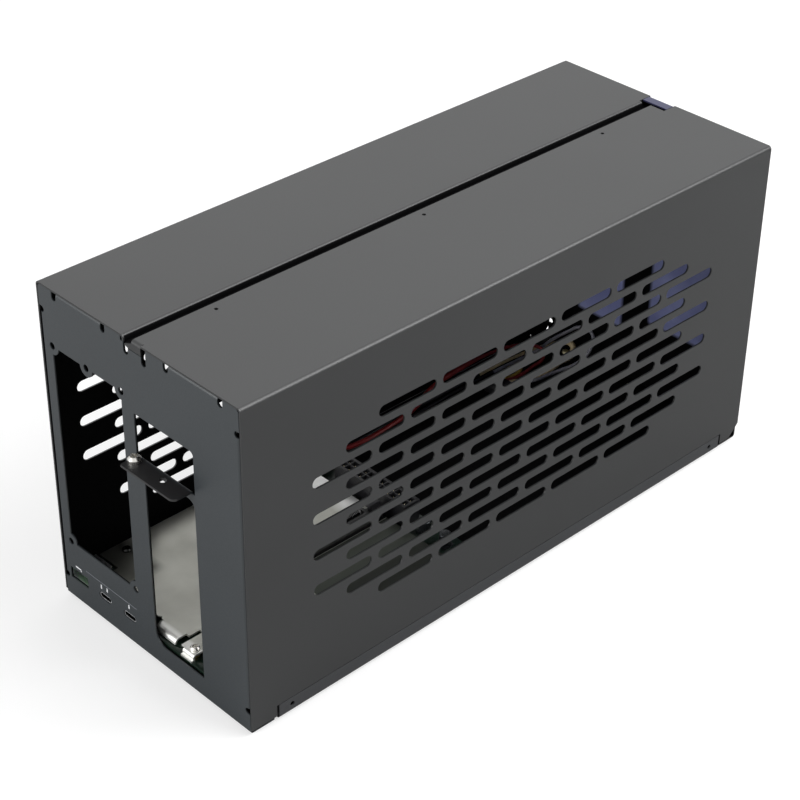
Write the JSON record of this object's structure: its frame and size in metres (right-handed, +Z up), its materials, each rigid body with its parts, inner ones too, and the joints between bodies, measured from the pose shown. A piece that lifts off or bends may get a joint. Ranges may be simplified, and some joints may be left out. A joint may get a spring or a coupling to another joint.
{
  "type": "pcie expansion chassis",
  "caption": "Sheet-metal case that holds a graphics card and small power supply outside a computer, with slotted lift-off covers, bracket ledge and dock board.",
  "frame": {"origin": "middle of the footprint, on the surface that the feet stand on", "axes": "+Z up, the connector face looks towards -Y, the long axis runs along Y"},
  "size_m": [0.144, 0.3656, 0.1825],
  "materials": {
    "black_coat": "satin powder coat",
    "rail_coat": "satin powder coat",
    "blue_coat": "satin powder coat with a bluish film",
    "rubber": "matte",
    "rivet_steel": "blackened",
    "screw_steel": "nickel plated",
    "shield_steel": "rolled and lightly brushed",
    "board": "solder mask",
    "black_plastic": "moulded",
    "grey_plastic": "moulded",
    "green_plastic": "moulded",
    "contact_gold": "gold flashed",
    "can_aluminium": "drawn",
    "ferrite": "pressed powder",
    "pad": "soft",
    "post_brass": "turned",
    "red_insulation": "extruded",
    "yellow_insulation": "extruded",
    "tan_insulation": "extruded",
    "grey_insulation": "extruded"
  },
  "bodies": {
    "chassis": {"io_panel": "black_coat", "back_panel": "blue_coat", "base_tray": "black_coat", "centre_rail": "rail_coat", "floor_rivets": "rivet_steel", "feet": "rubber", "bracket_screw": "screw_steel", "dock_board": "board", "dock_shield": "shield_steel", "card_socket": "black_plastic", "socket_contacts": "contact_gold", "usb_a_shell": "screw_steel", "usb_a_tongue": "green_plastic", "usb_c_shells": "screw_steel", "usb_c_tongues": "black_plastic", "power_header": "black_plastic", "header_pins": "contact_gold", "capacitors": "can_aluminium", "power_coils": "ferrite", "controller_chip": "black_plastic", "thermal_pad": "pad", "standoffs": "post_brass", "shield_spacers": "post_brass", "dock_screws": "screw_steel", "lead_plugs": "black_plastic", "lead_red": "red_insulation", "lead_yellow": "yellow_insulation", "lead_tan": "tan_insulation", "lead_grey": "grey_insulation"},
    "left_cover": {"left_cover": "black_coat"},
    "right_cover": {"right_cover": "black_coat"},
    "card_latch": {"card_latch": "grey_plastic"}
  },
  "joints": [
    {"name": "left_cover_lift", "type": "slide", "parent": "chassis", "child": "left_cover", "axis": [0, 0, 1], "range_m": [0, 0.185]},
    {"name": "right_cover_lift", "type": "slide", "parent": "chassis", "child": "right_cover", "axis": [0, 0, 1], "range_m": [0, 0.185]},
    {"name": "card_latch_swing", "type": "hinge", "parent": "chassis", "child": "card_latch", "pos_m": [0.00425, -0.03405, 0.0193], "axis": [-1, 0, 0], "range_deg": [0, 28]}
  ]
}
